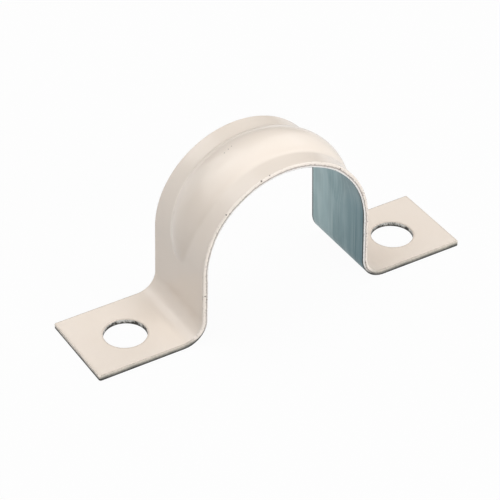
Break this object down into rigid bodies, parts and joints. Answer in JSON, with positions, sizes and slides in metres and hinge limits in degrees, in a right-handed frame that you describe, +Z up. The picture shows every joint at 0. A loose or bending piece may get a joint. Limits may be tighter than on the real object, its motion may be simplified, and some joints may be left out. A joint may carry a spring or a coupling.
{
  "type": "conduit strap",
  "caption": "Strap pressed from one painted steel strip. An arch with a stiffening rib holds a round conduit to a wall, and a flat foot at each end has a screw hole.",
  "frame": {"origin": "on the wall plane under the crown, in the middle of the strap's length and width", "axes": "X along the strip from foot to foot, Y along the conduit, Z up from the wall to the crown"},
  "size_m": [0.0748, 0.017, 0.0325],
  "materials": {
    "painted_steel": "cream paint on the outer face and bare zinc-coated steel on the inner face and the sheared edges"
  },
  "bodies": {
    "root": {"strap": "painted_steel"}
  },
  "joints": []
}
